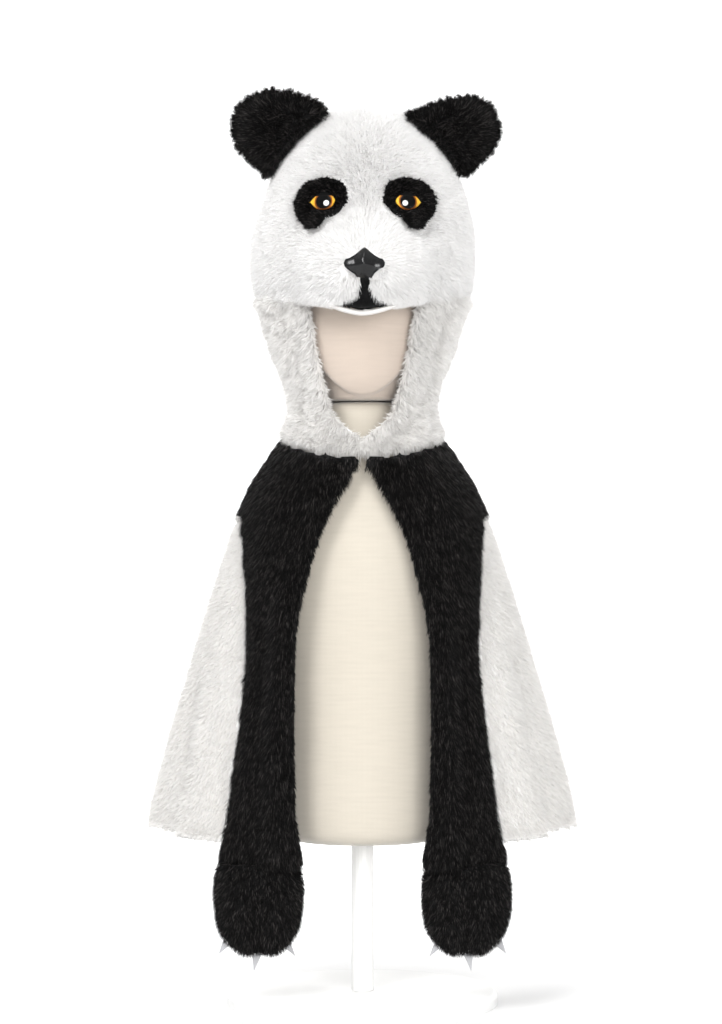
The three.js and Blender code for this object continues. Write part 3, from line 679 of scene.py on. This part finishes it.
def eyeMaterial(name, side):
    material, tree, surface = newMaterial(name)
    place = objectPlace(tree)
    x, _, z = addNode(tree, "ShaderNodeSeparateXYZ", {0: place}).outputs
    across = calc(tree, "SUBTRACT", x, eyeLook["middle"] + side * eyeLook["x"])
    up = calc(tree, "SUBTRACT", z, eyeLook["z"])

    def squared(value):
        return calc(tree, "POWER", calc(tree, "ABSOLUTE", value), 2.0)

    def away(dx, dz):
        flat, tall = squared(calc(tree, "SUBTRACT", across, dx)), squared(calc(tree, "SUBTRACT", up, dz))
        return calc(tree, "SQRT", calc(tree, "ADD", flat, tall))

    corner = ramp(tree, calc(tree, "ABSOLUTE", across), *eyeLook["corner"])
    color = mixColors(tree, corner, eyeColors["amber"], eyeColors["corner"])
    dots = {"Vector": place, "Scale": eyeLook["dotScale"]}
    dots = addNode(tree, "ShaderNodeTexVoronoi", dots).outputs["Distance"]
    dotted = calc(tree, "LESS_THAN", dots, eyeLook["dotSize"])
    dotted = calc(tree, "MULTIPLY", dotted, ramp(tree, up, *eyeLook["dotRim"]))
    color = mixColors(tree, dotted, color, eyeColors["dots"])
    fromPupil = away(0.0, 0.0)
    for part, soft, shown in (("ring", "ringSoft", "ring"), ("pupil", "pupilSoft", "black")):
        inside = ramp(tree, fromPupil, eyeLook[part] + eyeLook[soft], eyeLook[part])
        color = mixColors(tree, inside, color, eyeColors[shown])
    share = squared(calc(tree, "DIVIDE", across, eyeLook["half"]))
    almond = calc(tree, "MULTIPLY", calc(tree, "SUBTRACT", 1.0, share, clamp=True), eyeLook["high"])
    outside = calc(tree, "SUBTRACT", calc(tree, "ABSOLUTE", up), almond)
    outside = ramp(tree, outside, -eyeLook["edgeSoft"], eyeLook["edgeSoft"])
    lid = ramp(tree, up, eyeLook["lid"], eyeLook["lid"] + eyeLook["lidSoft"])
    outside = calc(tree, "MAXIMUM", outside, lid)
    color = mixColors(tree, outside, color, eyeColors["black"])
    # Painted highlight: a pale spot below the pupil on the nose's side, greyer in its middle
    fromLight = away(-side * eyeLook["lightX"], -eyeLook["lightZ"])
    fade = ramp(tree, fromLight, 0.0, eyeLook["lightFade"])
    highlightTone = mixColors(tree, fade, eyeColors["light"], eyeColors["lightRim"])
    color = mixColors(tree, ramp(tree, fromLight, *eyeLook["light"]), color, highlightTone)
    tree.links.new(color, surface.inputs["Base Color"])
    rough = {0: outside, 3: eyeLook["roughness"], 4: eyeLook["edgeRoughness"]}
    tree.links.new(addNode(tree, "ShaderNodeMapRange", rough).outputs[0], surface.inputs["Roughness"])
    surface.inputs["Specular IOR Level"].default_value = eyeLook["specular"]
    return material


linen = wovenMaterial("form_linen", (0.51, 0.467, 0.396, 1), 260)
knit = wovenMaterial("form_knit", (0.52, 0.437, 0.37, 1), 420)
standPaint = grainMaterial("stand_paint", (0.88, 0.88, 0.87, 1), 0.4)
satin = grainMaterial("lip_satin", (0.72, 0.7, 0.68, 1), 0.45)
felt = grainMaterial("claw_felt", (0.42, 0.42, 0.435, 1), 0.9, 0.2)
vinyl = grainMaterial("nose_vinyl", (0.004, 0.004, 0.0045, 1), 0.24, 0.45)

# The egg's chin stands over a short neck: everything below the chin line is pressed in
chin = {"low": 0.6055, "rise": 0.024, "riseEnd": 1.2, "reach": 0.04, "depth": 0.007, "soft": 0.003,
        "neckEnd": 0.5965}
formHead = finerCopy("form_head", "form_head_cover", 2, knit)
points, normals = readPoints(formHead.data)
chinLine = chin["low"] + chin["rise"] * np.minimum((points[:, 0] / chin["reach"]) ** 2, chin["riseEnd"])
below = smoothShare(-points[:, 2], -chinLine, chin["soft"] - chinLine) * (points[:, 2] > chin["neckEnd"])
level = normals * np.array([1.0, 1.0, 0.0])
writePoints(formHead.data, points - level * (below * chin["depth"])[:, None])
finerCopy("form_torso", "form_torso_cover", 1, linen)
lip = finerCopy("lip_facing", "lip_facing_satin", 2, satin)
print("form and lip facing done")

# The nose is pinched from its wings to its top, with a ridge down its middle and a hollow either side
noseLook = {"x": 0.0022, "wings": 0.7285, "top": 0.7455, "pinch": 0.62, "bottom": 0.7145, "narrow": 0.25,
            "ridge": 0.0012, "ridgeHalf": 0.006, "hollow": 0.0008, "hollowAt": 1.6, "hollowHalf": 0.6,
            "facing": -0.2}
noseCover = finerCopy("nose", "nose_vinyl_piece", 2, vinyl)
points, normals = readPoints(noseCover.data)
above = np.clip((points[:, 2] - noseLook["wings"]) / (noseLook["top"] - noseLook["wings"]), 0, 1)
below = np.clip((noseLook["wings"] - points[:, 2]) / (noseLook["wings"] - noseLook["bottom"]), 0, 1)
share = 1 - noseLook["pinch"] * np.sqrt(above) - noseLook["narrow"] * below ** 2
points[:, 0] = noseLook["x"] + (points[:, 0] - noseLook["x"]) * share
across = (points[:, 0] - noseLook["x"]) / noseLook["ridgeHalf"]
hollow = np.exp(-((np.abs(across) - noseLook["hollowAt"]) / noseLook["hollowHalf"]) ** 2)
shown = normals[:, 1] < noseLook["facing"]
points[:, 1] -= shown * noseLook["ridge"] * (np.exp(-across ** 2) - 1)
points[:, 1] += shown * noseLook["hollow"] * hollow
writePoints(noseCover.data, points)

for side, sign in (("left", 1), ("right", -1)):
    finerCopy(f"eye_{side}", f"eye_{side}_dome", 2, eyeMaterial(f"eye_{side}_amber", sign))
for node in ("form_pole", "form_base"):
    paint(frame["nodes"][node], standPaint)

clawEdge = {"width": 0.0007, "segments": 3}
for node in frame["nodes"]:
    if node.startswith("claw"):
        claw = copyOf(node, node + "_felt")
        bevel = claw.modifiers.new("Soft edge", "BEVEL")
        bevel.width = clawEdge["width"]
        bevel.segments = clawEdge["segments"]
        bake(claw)
        claw.data.shade_smooth()
        paint(claw, felt)
        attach(claw, "root")
        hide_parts(node)
print("nose, eyes, stand and claws done")


# Camera, floor and light
view = {"distance": 2.8, "height": 0.490, "x": -0.0015, "metresHigh": 1.024, "sensor": 24.0}
floorLook = {"tones": ((0.78, 0.78, 0.78, 1), (0.8, 0.8, 0.8, 1)), "scale": 3.0, "glow": 0.95,
             "glowFrom": 0.0, "glowTo": 1.0, "roughness": 0.7, "half": 6,
             "sweep": [(-3, 0), (3, 0), (4, 0.25), (4.4, 1), (4.5, 4)]}
worldLook = {"color": (1, 1, 1, 1), "light": 0.5, "seen": 1.0}
# Each softbox: where it stands, what it lights, its size in metres and its power
softboxes = {
    "key": ((-1.3, -2.3, 2.5), (0, 0, 0.7), (1.2, 1.6), 74),
    "fill": ((0.9, -3.3, 1.1), (0, 0, 0.5), (1.8, 1.6), 86),
    "top": ((0, -0.6, 2.6), (0, 0, 0.8), (1.0, 1.0), 6),
    "back": ((0, 2.2, 2.6), (0, 0, 0.6), (2.4, 1.2), 30),
}


def placeCamera():
    data = bpy.data.cameras.new("camera")
    data.sensor_fit = "VERTICAL"
    data.sensor_height = view["sensor"]
    data.lens = view["sensor"] * view["distance"] / view["metresHigh"]
    camera = newPiece("camera", data)
    camera.location = (view["x"], -view["distance"], view["height"])
    camera.rotation_euler = (math.radians(90), 0, 0)
    bpy.context.scene.camera = camera


def makeFloor():
    material, tree, surface = newMaterial("floor")
    place = objectPlace(tree)
    tone = addNode(tree, "ShaderNodeTexNoise", {"Vector": place, "Scale": floorLook["scale"]}).outputs[0]
    tree.links.new(mixColors(tree, tone, *floorLook["tones"]), surface.inputs["Base Color"])
    _, away, _ = addNode(tree, "ShaderNodeSeparateXYZ", {0: place}).outputs
    glow = ramp(tree, away, floorLook["glowFrom"], floorLook["glowTo"])
    tree.links.new(calc(tree, "MULTIPLY", glow, floorLook["glow"]), surface.inputs["Emission Strength"])
    surface.inputs["Roughness"].default_value = floorLook["roughness"]
    surface.inputs["Emission Color"].default_value = (1, 1, 1, 1)
    half, sweep = floorLook["half"], floorLook["sweep"]
    corners = [(x, y, z) for y, z in sweep for x in (-half, half)]
    mesh = bpy.data.meshes.new("floor")
    mesh.from_pydata(corners, [], [(2 * i, 2 * i + 1, 2 * i + 3, 2 * i + 2) for i in range(len(sweep) - 1)])
    mesh.shade_smooth()
    mesh.materials.append(material)
    newPiece("floor", mesh)


def addSoftbox(name, place, aim, size, power):
    data = bpy.data.lights.new(name, "AREA")
    data.shape = "RECTANGLE"
    data.size, data.size_y = size
    data.energy = power
    light = newPiece(name, data)
    light.location = place
    light.rotation_euler = (Vector(aim) - Vector(place)).to_track_quat("-Z", "Y").to_euler()


def makeWorld():
    # White where it is seen, dimmer where it lights
    world = bpy.data.worlds.new("studio")
    world.use_nodes = True
    tree = world.node_tree
    background = tree.nodes["Background"]
    background.inputs[0].default_value = worldLook["color"]
    seen = tree.nodes.new("ShaderNodeLightPath").outputs["Is Camera Ray"]
    strength = addNode(tree, "ShaderNodeMapRange", {0: seen, 3: worldLook["light"], 4: worldLook["seen"]})
    tree.links.new(strength.outputs[0], background.inputs[1])
    bpy.context.scene.world = world


placeCamera()
makeFloor()
for name, settings in softboxes.items():
    addSoftbox(name, *settings)
makeWorld()
bpy.context.scene.view_settings.view_transform = "Standard"
print("camera, floor and light done")

added = sum(len(polygon.vertices) - 2 for piece in bpy.context.scene.objects if piece.type == "MESH"
            and piece.name not in frame["nodes"] for polygon in piece.data.polygons)
print("triangles added:", added)
